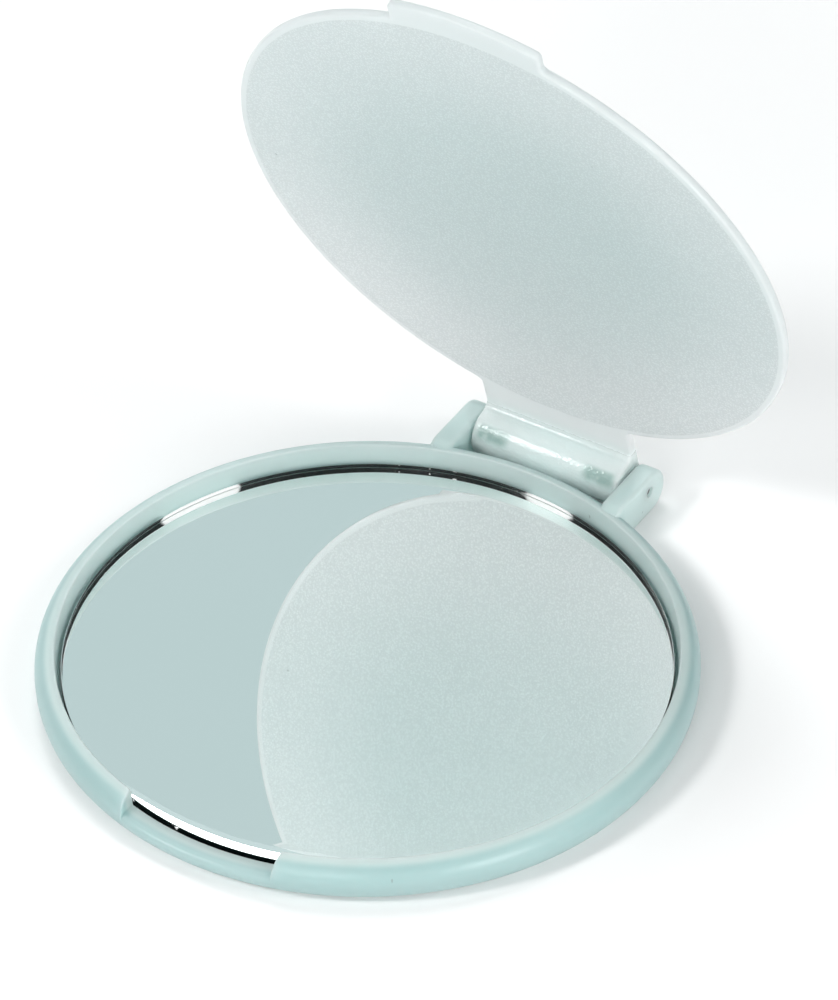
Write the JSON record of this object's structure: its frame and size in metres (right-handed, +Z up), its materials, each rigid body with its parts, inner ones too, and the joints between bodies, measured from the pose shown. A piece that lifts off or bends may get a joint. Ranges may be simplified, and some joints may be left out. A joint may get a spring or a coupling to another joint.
{
  "type": "folding pocket mirror",
  "caption": "Round folding pocket mirror: a frosted plastic tray holds a glass mirror, and a round frosted lid with a thumb tab swings on steel pins at the back.",
  "frame": {"origin": "centre of the tray's flat underside", "axes": "+Z up out of the mirror, +Y towards the hinge, +X along the hinge pins, to the right seen from the front"},
  "size_m": [0.062, 0.0679, 0.0658],
  "materials": {
    "tray_plastic": "translucent moulded plastic, pale aqua, satin outside",
    "lid_plastic": "translucent moulded plastic, pale aqua, with a fine grain inside",
    "mirror": "clear sheet glass, silvered and painted behind",
    "pin_steel": "bright drawn steel",
    "tape": "white double-sided foam tape"
  },
  "bodies": {
    "base": {"base_tray": "tray_plastic", "adhesive_tape_disc": "tape", "mirror_glass": "mirror", "hinge_pin_left": "pin_steel", "hinge_pin_right": "pin_steel"},
    "lid": {"lid": "lid_plastic"}
  },
  "joints": [
    {"name": "lid_hinge", "type": "hinge", "parent": "base", "child": "lid", "pos_m": [0, 0.03405, 0.0028], "axis": [-1, 0, 0], "range_deg": [-73.6, 106.4]}
  ]
}
